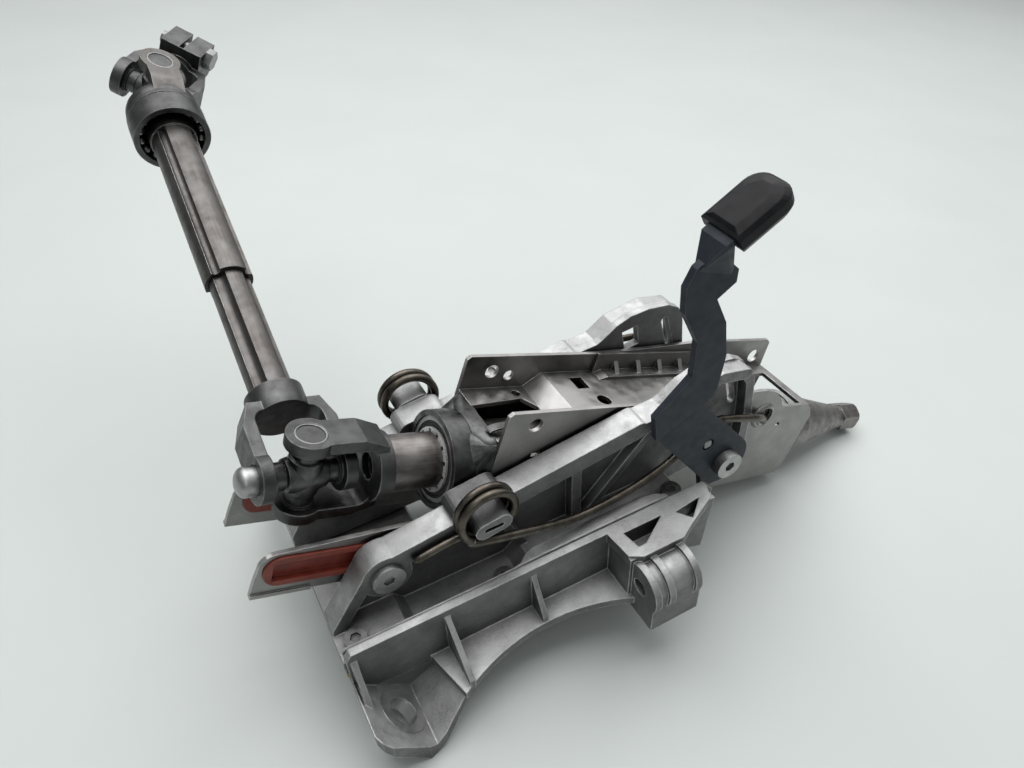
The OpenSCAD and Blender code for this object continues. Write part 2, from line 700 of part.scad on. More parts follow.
// Hood that carries the front bearing between the side walls
module front_housing() {
    w = half_w - box_t;
    s0 = front_bearing_s - 1;
    color("silver") difference() {
        union() {
            on_axis(s0) cylinder(r = housing_r, h = bearing_w + 2);
            hull() {
                on_axis(s0 + 6) cylinder(r = w, h = 6, $fn = 32);
                in_box() translate([54, -w, web_h - web_step - box_t - 4]) cube([3, 2 * w, 4]);
            }
            in_box() translate([s0 + 8, -w, axis_h - 14]) cube([20, 2 * w, 14]);
        }
        on_axis(s0 - 1) cylinder(r = bearing_r, h = bearing_w + 2);
        on_axis(s0) cylinder(r = bearing_r - 3, h = 60);
    }
}

// Angle bracket with a row of gussets along the far wall
module toothed_bracket() {
    w = half_w - box_t;
    s0 = 143;
    s1 = 222;
    color("gray") in_box() {
        translate([s0, w - 2, web_h]) cube([s1 - s0, 2, box_top + 3 - web_h]);
        slab(w - 10, w) polygon([[s0, web_h], [s1, web_h], [s1, web_h + 2], [s0 + 6, web_h + 2]]);
        // Gussets pressed into the corner
        for (i = [0:3]) translate([s0 + 14 + 18 * i, 0, 0]) rotate([90, 0, 90]) linear_extrude(3)
            polygon([[w - 8, web_h + 1], [w - 1, web_h + 1], [w - 1, web_h + 9]]);
    }
}

// Tube that holds the shaft inside the guide box
module jacket_tube() {
    color("gray") difference() {
        on_axis(front_bearing_s + bearing_w + 14)
            ring(jacket_r, jacket_r - 2, rear_bearing_s - front_bearing_s - bearing_w - 18);
        // Room for the clamp bolt over its travel
        in_box() slab(-half_w, half_w) slot_2d(clamp_s - reach_out, clamp_s + reach_in, clamp_h, 2 * clamp_r + 2 * gap);
    }
}

// Cap that carries the rear bearing at the end of the guide box
module end_cap() {
    w = half_w - box_t;
    color("silver") difference() {
        union() {
            on_axis(rear_bearing_s - 5) cylinder(r = bearing_r - 0.1, h = bearing_w + 7.5);
            on_axis(box_end) cylinder(r = bearing_r + 1.5, h = 6);
            in_box() translate([rear_bearing_s, -w, axis_h - 10]) cube([bearing_w, 2 * w, 20]);
        }
        on_axis(rear_bearing_s) cylinder(r = rear_r + run, h = bearing_w);
        on_axis(rear_bearing_s - 10) cylinder(r = core_r + 4, h = 60);
        on_axis(rear_bearing_s - 6) cylinder(r = jacket_r, h = 5);
    }
}

// Bearings

// Race of a ball bearing between two radii, with the groove for its balls
module race(r_out, r_in, track) {
    difference() {
        ring(r_out, r_in, bearing_w);
        translate([0, 0, bearing_w / 2]) rotate_extrude() translate([track, 0]) circle(r = ball_r + run, $fn = 32);
    }
}

module ball_set(track) {
    for (i = [0:ball_count - 1]) rotate(360 * i / ball_count) translate([track, 0, bearing_w / 2]) sphere(r = ball_r, $fn = 24);
}

front_track = (bearing_r + tube_r) / 2;
rear_r = bearing_r - 3;
rear_track = (rear_r + core_r) / 2;

module front_outer_race() { color("silver") on_axis(front_bearing_s) race(bearing_r, front_track + 1.6, front_track); }
module rear_outer_race() { color("silver") on_axis(rear_bearing_s) race(rear_r, rear_track + 1.6, rear_track); }
module front_balls() { color("white") on_axis(front_bearing_s) ball_set(front_track); }
module rear_balls() { color("white") on_axis(rear_bearing_s) ball_set(rear_track); }
module front_inner_race() { color("silver") on_axis(front_bearing_s) race(front_track - 1.6, tube_r, front_track); }
module rear_inner_race() { color("silver") on_axis(rear_bearing_s) race(rear_track - 1.6, core_r, rear_track); }

// Steering shaft

module steering_shaft() {
    tube_end = front_bearing_s + bearing_w + 10;
    color("darkgray") difference() {
        union() {
            on_axis(4 - joint_s + fork_depth) cylinder(r = tube_r, h = tube_end + joint_s - fork_depth - 4);
            on_axis(tube_end) cylinder(r1 = tube_r, r2 = core_r, h = 8);
            on_axis(tube_end + 8) cylinder(r = core_r, h = cone_s - tube_end - 6);
            // Cone that necks down to the wheel seat
            on_axis(cone_s) cylinder(r = 20, h = 8);
            on_axis(cone_s + 8) cylinder(r1 = 20, r2 = 9.4, h = wheel_s - seat_len - cone_s - 12);
            on_axis(wheel_s - seat_len - 5) cylinder(r = 9.4, h = 5);
            on_axis(wheel_s - seat_len) intersection() {
                cylinder(d = seat_flats / cos(30), h = seat_len, $fn = 6);
                cylinder(d1 = seat_flats / cos(30) + 16, d2 = seat_flats / cos(30) - 2, h = seat_len);
            }
        }
        on_axis(-joint_s) cylinder(r = core_r - 3, h = 40);
        on_axis(wheel_s - 14) cylinder(r = 4, h = 20);
    }
}

// Slotted sleeve for the steering lock's bolt
module lock_sleeve() {
    color("gray") on_axis(74) difference() {
        ring(jacket_r - 3, core_r, 22);
        for (i = [0:7]) rotate(45 * i) translate([core_r + 3, -2.5, 4]) cube([12, 5, 14]);
    }
}

// Star washer that keeps the front bearing on the shaft
module star_washer() {
    color("silver") on_axis(front_bearing_s - 1.2) difference() {
        cylinder(r = front_track - 1.8, h = 1.2);
        translate([0, 0, -1]) cylinder(r = tube_r, h = 4);
        for (i = [0:11]) rotate(30 * i) translate([tube_r - 0.5, -1.2, -1]) cube([2.2, 2.4, 4]);
    }
}

// Universal joints

// Radius of the corners at a fork's floor
fork_fillet = 6;
// Width of a fork's arms
arm_w = ear_w - 5;

// Fork with two ears across z, its joint centre at the origin, opening towards -x
module fork(hub_r, hub_len, depth) {
    inner = ear_out - ear_t;
    difference() {
        union() {
            intersection() {
                rotate([90, 0, 0]) translate([0, 0, -ear_w / 2]) linear_extrude(ear_w)
                    polygon([[-ear_w / 2, ear_out], [depth - 8, ear_out], [depth + 5, ear_out - 5], [depth + 5, -ear_out + 5],
                        [depth - 8, -ear_out], [-ear_w / 2, -ear_out]]);
                union() {
                    translate([0, 0, -ear_out]) cylinder(d = ear_w, h = 2 * ear_out);
                    translate([0, -arm_w / 2, -ear_out]) cube([depth + 6, arm_w, 2 * ear_out]);
                }
            }
            translate([depth, 0, 0]) rotate([0, 90, 0]) cylinder(r = hub_r, h = hub_len);
        }
        // Space between the ears, with round corners at its floor
        translate([0, ear_w, 0]) rotate([90, 0, 0]) linear_extrude(2 * ear_w) {
            translate([-ear_w, -inner]) square([ear_w + depth - fork_fillet, 2 * inner]);
            translate([-ear_w, fork_fillet - inner]) square([ear_w + depth, 2 * inner - 2 * fork_fillet]);
            for (z = [-1, 1]) translate([depth - fork_fillet, z * (inner - fork_fillet)]) circle(r = fork_fillet);
        }
        translate([0, 0, -ear_out - 1]) cylinder(r = cup_r, h = 2 * ear_out + 2);
    }
}

// Length of the plain part of the domed cup
dome_len = 6;

// The two bearing cups of a fork, across z
module cups() {
    both = ear_out - 0.6;
    for (m = [0, 1]) mirror([0, 0, m]) difference() {
        translate([0, 0, ear_out - ear_t - 0.5]) cylinder(r = cup_r, h = both - ear_out + ear_t + 0.5);
        translate([0, 0, 0]) cylinder(r = journal_r + run, h = journal_end + 0.1);
    }
}

// Cross with four journals along y and z
module joint_cross() {
    for (a = [0, 90]) rotate([a, 0, 0]) {
        translate([0, 0, -journal_end]) cylinder(r = journal_r, h = 2 * journal_end);
        translate([0, 0, -ear_out + ear_t + 2]) cylinder(r = cup_r - 1, h = 2 * (ear_out - ear_t - 2));
    }
}

module at_upper() { in_box() translate([-joint_s, 0, axis_h]) children(); }

module upper_yoke() {
    color("gray") difference() {
        at_upper() fork(tube_r + 3, 8, fork_depth);
        on_axis(4 - joint_s + fork_depth) cylinder(r = tube_r, h = 30);
        on_axis(-joint_s) cylinder(r = core_r - 3, h = 60);
    }
}

module upper_yoke_cups() { color("silver") at_upper() cups(); }
module upper_cross() { color("dimgray") in_cross() joint_cross(); }

// Turns a fork so that its ears lie across y and its hub towards +x
module across_y() { rotate([90, 0, 0]) children(); }

module fork_yoke() {
    color("darkgray") in_shaft() difference() {
        across_y() fork(inner_r + 4, 14, fork_depth);
        translate([fork_depth + 3, 0, 0]) rotate([0, 90, 0]) cylinder(r = inner_r - 1, h = 30);
    }
}

// Bearing cups of the fork yoke, with the long domed one at its outer ear
module fork_yoke_cups() {
    color("silver") in_shaft() {
        across_y() cups();
        translate([0, ear_out - 1, 0]) rotate([-90, 0, 0]) {
            cylinder(r = cup_r - 0.6, h = dome_len);
            translate([0, 0, dome_len]) scale([1, 1, 0.6]) sphere(r = cup_r - 0.6);
        }
    }
}

// Distance from the shaft's axis to the centres of its grooves
groove_c = inner_r + 2.6;

// Round profile with four grooves along it
module lobed_2d(r, g) {
    difference() {
        circle(r = r);
        for (a = [45:90:315]) rotate(a) translate([groove_c, 0]) circle(r = g, $fn = 32);
    }
}

module along_shaft(s) { in_shaft() translate([s, 0, 0]) rotate([0, 90, 0]) children(); }

module inner_shaft() {
    color("silver") union() {
        along_shaft(fork_depth + 14) difference() {
            linear_extrude(lobed_end - fork_depth - 30) lobed_2d(inner_r, groove_r);
            translate([0, 0, -1]) cylinder(r = inner_r - 4.5, h = 400);
        }
        along_shaft(fork_depth + 3) cylinder(r = inner_r - 1, h = 11.5);
    }
}

// Length of the outer tube's lobed part and of its plain end
lobed_end = inter_len - low_depth - 25;

module outer_tube() {
    color("silver") {
        along_shaft(outer_start) linear_extrude(lobed_end - outer_start) difference() {
            lobed_2d(outer_r, groove_r - lobe_gap - outer_t);
            lobed_2d(inner_r + lobe_gap, groove_r - lobe_gap);
        }
        along_shaft(lobed_end) ring(outer_r + 0.8, outer_r - outer_t, 20);
        // Fork of the lower joint, closed by the tube's end
        in_lower() mirror([1, 0, 0]) fork(outer_r + 0.8, 6, low_depth);
    }
}

// Frame of the clamp yoke, bent away from the shaft
module in_clamp_yoke() { in_lower() rotate([0, 0, -low_bend]) children(); }

module tube_yoke_cups() { color("silver") in_lower() cups(); }
module lower_cross() { color("dimgray") in_clamp_yoke() joint_cross(); }

// Fork with a split clamp for the steering gear's input shaft
module clamp_yoke() {
    hub = 13.5;
    color("darkgray") in_clamp_yoke() difference() {
        union() {
            across_y() fork(hub, 28, low_depth);
            translate([low_depth + 5, -hub, 0]) cube([23, 2 * hub, 20]);
        }
        translate([low_depth - 10, 0, 0]) rotate([0, 90, 0]) cylinder(r = pinion_r, h = 60);
        translate([low_depth + 5.5, -1.5, 0]) cube([40, 3, 40]);
        translate([low_depth + 17, 0, 14.5]) rod_y(bolt_hole_r, -40, 40);
    }
}

bolt_hole_r = 4.1;

module clamp_yoke_cups() { color("silver") in_clamp_yoke() across_y() cups(); }

module pinch_bolt() {
    color("dimgray") in_clamp_yoke() translate([low_depth + 17, 0, 14.5]) {
        rod_y(bolt_hole_r - run, -14, 17);
        rotate([90, 0, 0]) translate([0, 0, 13.5]) cylinder(r = 7, h = 5, $fn = 6);
    }
}

// Ring of the bulkhead seal, which turns on balls around the outer tube
seal_len = 16;
seal_s = inter_len - low_depth - 6 - seal_len;
seal_track = (seal_r + outer_r) / 2 + 0.4;

module seal_ring() {
    color("gray") along_shaft(seal_s) difference() {
        ring(seal_r, seal_track + 1, seal_len);
        translate([0, 0, 5]) rotate_extrude() translate([seal_track, 0]) circle(r = 2.5 + run, $fn = 32);
    }
}

module seal_balls() {
    color("white") along_shaft(seal_s) for (i = [0:15]) rotate(22.5 * i) translate([seal_track, 0, 5]) sphere(r = 2.5, $fn = 24);
}

base_bracket();
foot_sleeves();
slide_strips();
near_cheek();
far_cheek();
carrier_bolts();
pivot_bolts();
near_spring();
far_spring();
slide_shoes();
clamp_bolt();
clamp_nut();
fixed_cam();
clamp_washers();
moving_cam();
lever_plate();
lever_grip();
guide_box();
slot_liners();
front_housing();
toothed_bracket();
jacket_tube();
end_cap();
front_outer_race();
rear_outer_race();
front_balls();
rear_balls();
front_inner_race();
rear_inner_race();
steering_shaft();
lock_sleeve();
star_washer();
upper_yoke();
upper_yoke_cups();
upper_cross();
fork_yoke();
fork_yoke_cups();
inner_shaft();
outer_tube();
tube_yoke_cups();
lower_cross();
clamp_yoke();
clamp_yoke_cups();
pinch_bolt();
seal_ring();
seal_balls();
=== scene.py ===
"""Looks of the steering column: materials, detail pieces, floor, light and camera."""
import json
import math

import bmesh
import bpy
from mathutils import Matrix, Vector


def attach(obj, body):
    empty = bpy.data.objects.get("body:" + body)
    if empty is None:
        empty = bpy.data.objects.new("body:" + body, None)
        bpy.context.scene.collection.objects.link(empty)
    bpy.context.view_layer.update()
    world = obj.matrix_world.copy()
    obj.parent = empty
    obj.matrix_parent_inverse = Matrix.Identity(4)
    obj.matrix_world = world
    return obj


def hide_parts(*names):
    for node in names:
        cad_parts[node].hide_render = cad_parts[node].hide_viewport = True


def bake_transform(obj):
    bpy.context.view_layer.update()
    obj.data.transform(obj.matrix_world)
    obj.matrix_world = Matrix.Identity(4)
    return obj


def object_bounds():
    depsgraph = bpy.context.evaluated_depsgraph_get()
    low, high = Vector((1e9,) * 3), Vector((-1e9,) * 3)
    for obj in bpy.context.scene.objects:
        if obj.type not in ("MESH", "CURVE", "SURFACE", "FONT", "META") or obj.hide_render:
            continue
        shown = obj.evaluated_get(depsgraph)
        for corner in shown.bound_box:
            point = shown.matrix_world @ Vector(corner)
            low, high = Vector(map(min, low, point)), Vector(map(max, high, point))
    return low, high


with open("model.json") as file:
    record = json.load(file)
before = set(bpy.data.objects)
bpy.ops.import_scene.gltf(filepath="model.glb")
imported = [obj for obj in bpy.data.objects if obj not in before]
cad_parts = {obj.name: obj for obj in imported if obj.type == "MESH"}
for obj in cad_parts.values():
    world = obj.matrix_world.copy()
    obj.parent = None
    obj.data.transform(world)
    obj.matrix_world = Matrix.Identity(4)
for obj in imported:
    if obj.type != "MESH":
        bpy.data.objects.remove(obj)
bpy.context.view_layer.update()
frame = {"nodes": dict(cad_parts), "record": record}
nodes = frame["nodes"]
scene = bpy.context.scene

# Sizes repeated from the part's source, in millimetres and degrees
SLOPE, LAY = 21.4, 6.95
WHEEL_S, AXIS_H = 405.0, 37.2
CHEEK_OUT, HALF_W = 42.0, 26.0
WIRE_R, COIL_R = 2.3, 15.0
SPRING_X, SPRING_Z = 52.8, 25.0
HOOK_S, HOOK_H = 252.0, 68.0
CLAMP_S, CLAMP_H = 193.0, 62.0
SLOT_FRONT, SLOT_BACK = -53.0, 21.0
JOINT_S, LOWER_S = 36.0, 300.0
EAR_OUT, CUP_R = 24.0, 8.0
UPPER_SWING, UPPER_LIFT, LOWER_SWING = 95.3, -17, -38
SIDES = ((1, "near"), (-1, "far"))


def rot_y(angle):
    """A turn about Y, in degrees."""
    return Matrix.Rotation(math.radians(angle), 3, "Y")


def rot_z(angle):
    """A turn about Z, in degrees."""
    return Matrix.Rotation(math.radians(angle), 3, "Z")


SLOPE_SIN, SLOPE_COS = math.sin(math.radians(SLOPE)), math.cos(math.radians(SLOPE))
SHIFT = Vector((-WHEEL_S * SLOPE_COS - AXIS_H * SLOPE_SIN, 0, WHEEL_S * SLOPE_SIN - AXIS_H * SLOPE_COS))
LAY_R = rot_y(-LAY)
BOX_R = LAY_R @ rot_y(SLOPE)
UPPER_R = BOX_R @ rot_z(UPPER_SWING)
SHAFT_R = UPPER_R @ rot_y(UPPER_LIFT)
LOWER_R = SHAFT_R @ rot_z(LOWER_SWING)


def lay(p):
    """A point of the base's frame in millimetres, as metres of the part's frame."""
    return LAY_R @ (Vector(p) + SHIFT) / 1000


def box_pt(p):
    """A point of the guide box's frame in millimetres, as metres of the part's frame."""
    return lay(rot_y(SLOPE) @ Vector(p))


# Camera, solved from the photograph in the base's frame
EYE = (-44.2, -280.3, 328.7)
RIGHT = (0.880, -0.474, -0.037)
AHEAD = (0.334, 0.672, -0.661)
eye = lay(EYE)
ahead = (LAY_R @ Vector(AHEAD)).normalized()
right = LAY_R @ Vector(RIGHT)
right = (right - right.dot(ahead) * ahead).normalized()
up = right.cross(ahead)
cam = bpy.data.objects.new("camera", bpy.data.cameras.new("camera"))
scene.collection.objects.link(cam)
cam.matrix_world = Matrix((
    (right.x, up.x, -ahead.x, eye.x), (right.y, up.y, -ahead.y, eye.y),
    (right.z, up.z, -ahead.z, eye.z), (0, 0, 0, 1),
))
cam.data.sensor_width = 36
cam.data.lens = 27.77
cam.data.clip_start = 0.01
scene.camera = cam

# Materials by name, with lengths in metres
MATS = {}
BRUSH_STRETCH = (25, 1, 1)
HOLLOW_REACH = 0.014
GRAIN_HEIGHT, MOULD_HEIGHT = 0.0003, 0.00025
# Painted shadow of the near spring's coil on the nub under it: radius, its end's y, the y at its root from unshaded
# to shaded, and its tone
NUB_R, NUB_END, NUB_ROOT, COIL_SHADOW_TONE = 0.0175, -0.0586, (-0.020, -0.024), 0.3


class Graph:
    """A material's node tree with short helpers."""

    def __init__(self, name):
        self.mat = bpy.data.materials.new(name)
        self.mat.use_nodes = True
        self.tree = self.mat.node_tree
        self.shader = self.tree.nodes["Principled BSDF"]
        coord = self.add("ShaderNodeTexCoord")
        self.coord, self.facing = coord.outputs["Object"], coord.outputs["Normal"]

    def add(self, kind, **props):
        """A new node with its properties set."""
        node = self.tree.nodes.new(kind)
        for key, value in props.items():
            setattr(node, key, value)
        return node

    def link(self, a, b):
        """A link from an output to an input."""
        self.tree.links.new(a, b)

    def split(self, vector):
        """The X, Y and Z of a vector."""
        node = self.add("ShaderNodeSeparateXYZ")
        self.link(vector, node.inputs[0])
        return node.outputs

    def noise(self, scale, detail=4, rough=0.55, stretch=None):
        """Noise in object space, drawn out along the X axis of a rotation if one is given."""
        node = self.add("ShaderNodeTexNoise")
        node.inputs["Scale"].default_value = scale
        node.inputs["Detail"].default_value = detail
        node.inputs["Roughness"].default_value = rough
        if stretch:
            mapping = self.add("ShaderNodeMapping", vector_type="TEXTURE")
            mapping.inputs["Rotation"].default_value = stretch.to_euler()
            mapping.inputs["Scale"].default_value = BRUSH_STRETCH
            self.link(self.coord, mapping.inputs["Vector"])
            self.link(mapping.outputs["Vector"], node.inputs["Vector"])
        else:
            self.link(self.coord, node.inputs["Vector"])
        return node.outputs["Fac"]

    def ramp(self, fac, low, high, a=0.0, b=1.0):
        """A value that runs from a at low to b at high."""
        node = self.add("ShaderNodeMapRange")
        node.inputs["From Min"].default_value = low
        node.inputs["From Max"].default_value = high
        node.inputs["To Min"].default_value = a
        node.inputs["To Max"].default_value = b
        self.link(fac, node.inputs["Value"])
        return node.outputs["Result"]

    def mix(self, fac, a, b, mode="MIX"):
        """A mix of two colours, each a tuple or an output."""
        node = self.add("ShaderNodeMix", data_type="RGBA", blend_type=mode)
        if isinstance(fac, float):
            node.inputs["Factor"].default_value = fac
        else:
            self.link(fac, node.inputs["Factor"])
        # Sockets 6 and 7 and output 2 are the colour ones
        for socket, value in ((node.inputs[6], a), (node.inputs[7], b)):
            if isinstance(value, tuple):
                socket.default_value = (*value, 1)
            else:
                self.link(value, socket)
        return node.outputs[2]

    def math(self, op, a, b):
        """Arithmetic on two values, each a number or an output."""
        node = self.add("ShaderNodeMath", operation=op)
        for socket, value in zip(node.inputs, (a, b)):
            if isinstance(value, (int, float)):
                socket.default_value = value
            else:
                self.link(value, socket)
        return node.outputs[0]

    def rounded(self, radius):
        """Normal of edges rounded by a small radius, and a mask of those edges."""
        bevel = self.add("ShaderNodeBevel", samples=4)
        bevel.inputs["Radius"].default_value = radius
        geo = self.add("ShaderNodeNewGeometry")
        dot = self.add("ShaderNodeVectorMath", operation="DOT_PRODUCT")
        self.link(bevel.outputs["Normal"], dot.inputs[0])
        self.link(geo.outputs["Normal"], dot.inputs[1])
        return bevel.outputs["Normal"], self.ramp(dot.outputs["Value"], 0.995, 0.85)

    def upward(self, side, top):
        """A factor of painted light and shade that runs from side on upright faces to top on level ones, as if lit
        from above.
        """
        return self.ramp(self.split(self.facing)["Z"], 0.05, 0.8, side, top)

    def crevice(self, reach, floor):
        """A factor of painted shade that darkens corners and hollows."""
        node = self.add("ShaderNodeAmbientOcclusion", samples=6)
        node.inputs["Distance"].default_value = reach
        return self.ramp(node.outputs["AO"], 0.25, 0.85, floor, 1.0)

    def coil_shadow(self, centre):
        """A painted shadow of the near spring's coil: a factor that darkens the nub under the coil, but not the
        nub's end.
        """
        place = self.split(self.coord)
        flat = self.add("ShaderNodeCombineXYZ")
        self.link(self.math("SUBTRACT", place["X"], centre.x), flat.inputs["X"])
        self.link(self.math("SUBTRACT", place["Z"], centre.z), flat.inputs["Z"])
        away = self.add("ShaderNodeVectorMath", operation="LENGTH")
        self.link(flat.outputs[0], away.inputs[0])
        body = self.math("MAXIMUM", self.ramp(self.split(self.facing)["Y"], -0.9, -0.6),
                         self.ramp(place["Y"], NUB_END + 0.0004, NUB_END + 0.001))
        inside = self.math("MULTIPLY", self.ramp(away.outputs["Value"], NUB_R, 0.85 * NUB_R),
                           self.ramp(place["Y"], *NUB_ROOT))
        return self.ramp(self.math("MULTIPLY", inside, body), 0.0, 1.0, 1.0, COIL_SHADOW_TONE)

    def bump(self, height, strength, distance, normal):
        """A normal with fine relief added."""
        node = self.add("ShaderNodeBump")
        node.inputs["Strength"].default_value = strength
        node.inputs["Distance"].default_value = distance
        self.link(height, node.inputs["Height"])
        self.link(normal, node.inputs["Normal"])
        return node.outputs["Normal"]


def metal(name, dark, light, stain, edge, rough, grain, spot=90, brush=None, radius=0.0006, depth=0.25, soil=0.6,
          side=1.0, top=1.0, hollow=0.5, metallic=1.0, speck=0.35, coil_shadow_at=None):
    """Bare or coated metal with blotches, stains and a fine grain; edges lightened by wear and by a painted
    highlight; painted light on level faces, painted shade on upright faces and in hollows, and optionally a painted
    shadow of the near spring's coil.
    """
    g = Graph(name)
    normal, edges = g.rounded(radius)
    tone = g.mix(g.ramp(g.noise(spot, 6), 0.35, 0.65), dark, light)
    tone = g.mix(g.ramp(g.noise(spot * 0.35, 5, 0.65), 0.52, 0.78, 0, soil), tone, stain)
    fine = g.noise(grain, 3, 0.6, brush)
    tone = g.mix(g.ramp(fine, 0.3, 0.7, 0, speck), tone, light)
    # Painted light and shade: level faces lighter, upright faces darker, times painted shade in corners and hollows
    shade = g.math("MULTIPLY", g.upward(side, top), g.crevice(HOLLOW_REACH, hollow))
    # Painted shadow of the near spring's coil on the nub, for the cheeks only
    if coil_shadow_at:
        shade = g.math("MULTIPLY", shade, g.coil_shadow(coil_shadow_at))
    tone = g.mix(1.0, tone, shade, "MULTIPLY")
    # Edges lightened towards the edge tone: partly worn metal, partly a painted edge highlight
    scuff_and_highlight = g.math("MULTIPLY", edges, g.ramp(g.noise(260, 4), 0.3, 0.6, 0.25, 0.95))
    g.link(g.mix(scuff_and_highlight, tone, edge), g.shader.inputs["Base Color"])
    g.shader.inputs["Metallic"].default_value = metallic
    g.link(g.ramp(g.noise(spot * 2.2, 5), 0.3, 0.7, rough - 0.09, rough + 0.12), g.shader.inputs["Roughness"])
    g.link(g.bump(fine, depth, GRAIN_HEIGHT, normal), g.shader.inputs["Normal"])
    MATS[name] = g.mat


def plastic(name, dark, light, rough, grain, depth=0.2, spec=0.5, radius=0.0008, wear_and_highlight=0.03):
    """Moulded plastic or satin paint with a fine grain and edges lightened by rubbing and by a painted highlight."""
    g = Graph(name)
    normal, edges = g.rounded(radius)
    tone = g.mix(g.ramp(g.noise(120, 5), 0.35, 0.65), dark, light)
    # Edge colour: lighter for rubbed wear, and raised further as a painted edge highlight
    rub_and_highlight = tuple(min(1, c * 1.7 + wear_and_highlight) for c in light)
    g.link(g.mix(g.math("MULTIPLY", edges, 0.5), tone, rub_and_highlight), g.shader.inputs["Base Color"])
    g.link(g.ramp(g.noise(200, 4), 0.3, 0.7, rough - 0.07, rough + 0.09), g.shader.inputs["Roughness"])
    g.link(g.bump(g.noise(grain, 2), depth, MOULD_HEIGHT, normal), g.shader.inputs["Normal"])
    g.shader.inputs["Specular IOR Level"].default_value = spec
    MATS[name] = g.mat


def grey(v, warm=0.0):
    """A grey, or a slightly warm one."""
    return (v * (1 + warm), v, v * (1 - warm))


# A metal's numbers are its dark, light and stained tones, its edge tone for wear and painted highlight, its
# roughness, and the scales of grain and blotches; side and top set painted shade and light, hollow the painted shade
# in corners.
# A plastic's are its dark and light tones, its roughness, and the scale of its grain and how deep that is.
CAST = {
    "dark": grey(0.25), "light": grey(0.41), "stain": grey(0.19, 0.03), "edge": grey(0.80), "rough": 0.55,
    "grain": 750, "spot": 70, "radius": 0.0011, "depth": 0.5, "side": 0.60, "top": 1.30, "hollow": 0.45,
    "metallic": 0.95, "speck": 0.6,
}
metal("cast_aluminium", **CAST)
# The cheeks' copy of the cast look, with the painted shadow of the near spring's coil
metal("cheek_aluminium", **CAST, coil_shadow_at=lay((SPRING_X, 0, SPRING_Z)))
metal("machined_steel", grey(0.34), grey(0.46), grey(0.24, 0.04), grey(0.70), 0.42, 1400, 150,
      radius=0.0002, depth=0.02, hollow=0.45)
plastic("strip_plastic", (0.30, 0.21, 0.06), (0.42, 0.31, 0.11), 0.5, 1200)
metal("bolt_steel", grey(0.20), grey(0.31), grey(0.13, 0.06), grey(0.6), 0.38, 1600, 160,
      radius=0.0003, depth=0.05)
metal("spring_steel", (0.070, 0.063, 0.053), (0.135, 0.12, 0.10), (0.055, 0.042, 0.030), grey(0.4),
      0.33, 1500, 180, depth=0.1)
plastic("shoe_plastic", (0.55, 0.53, 0.47), (0.68, 0.66, 0.60), 0.45, 1200)
metal("dark_steel", grey(0.060), grey(0.13), grey(0.04, 0.06), grey(0.45), 0.36, 1300, 140,
      radius=0.0004, depth=0.12, hollow=0.35)
# Lever paint with strongly lightened edges: partly wear, partly a painted edge highlight
plastic("lever_paint", (0.020, 0.025, 0.033), (0.030, 0.036, 0.046), 0.46, 1800, 0.10, spec=0.2,
        radius=0.0006, wear_and_highlight=0.16)
plastic("grip_plastic", (0.007, 0.007, 0.008), (0.012, 0.012, 0.014), 0.36, 1500, 0.15, spec=0.14)
metal("sheet_steel", (0.27, 0.265, 0.26), (0.35, 0.343, 0.335), (0.20, 0.175, 0.16), grey(0.75),
      0.36, 500, 60, radius=0.0005, depth=0.06, soil=0.35, side=0.88, top=1.42, hollow=0.35)
plastic("liner_plastic", (0.15, 0.022, 0.014), (0.23, 0.042, 0.026), 0.42, 1100)
metal("tube_steel", (0.080, 0.072, 0.068), (0.150, 0.143, 0.138), (0.080, 0.060, 0.050), grey(0.5),
      0.42, 900, 90, SHAFT_R, 0.0005, 0.10, speck=0.7)
metal("shaft_steel", (0.115, 0.100, 0.093), (0.30, 0.285, 0.275), (0.110, 0.082, 0.070), grey(0.5),
      0.40, 900, 90, BOX_R, 0.0005, 0.10, hollow=0.4, speck=0.7)
metal("bright_steel", grey(0.55), grey(0.70), grey(0.42, 0.03), grey(0.85), 0.30, 1400, 150,
      radius=0.0002, depth=0.02, hollow=0.9, metallic=0.5)
metal("sleeve_steel", grey(0.40), grey(0.50), grey(0.32, 0.03), grey(0.75), 0.42, 1200, 150,
      radius=0.0003, depth=0.03, hollow=0.6)
metal("cup_steel", grey(0.070), grey(0.115), grey(0.05, 0.06), grey(0.4), 0.45, 1200, 130,
      radius=0.0003, depth=0.08)
plastic("seal_rubber", (0.012, 0.012, 0.012), (0.022, 0.021, 0.020), 0.55, 1400, 0.2)
metal("forged_steel", grey(0.065), grey(0.120), grey(0.045, 0.05), grey(0.42), 0.42, 1000, 110,
      radius=0.001, depth=0.35, hollow=0.3)

# Nodes whose look differs from others of the same slot
LOOKS = {
    "steering_shaft": "shaft_steel", "star_washer": "bright_steel", "foot_sleeves": "sleeve_steel",
    "pivot_bolts": "machined_steel", "near_cheek": "cheek_aluminium", "far_cheek": "cheek_aluminium",
    "upper_yoke_cups": "cup_steel", "tube_yoke_cups": "cup_steel", "clamp_yoke_cups": "cup_steel",
}
for entry in frame["record"]["subparts"]:
    obj = nodes[entry["node"]]
    obj.data.materials.clear()
    obj.data.materials.append(MATS[LOOKS.get(entry["node"], entry["material_slot"])])

# Springs: one smooth wire each, in two lengths
COIL_TURNS, COIL_STEPS, COIL_START, COIL_GAP, SIDE_GAP = 1.9, 44, -88, 0.5, 0.3
CURVE_STEPS = 4
# Where the wire is cut in two
SPLIT_X, SPLIT_Z = 196, 12


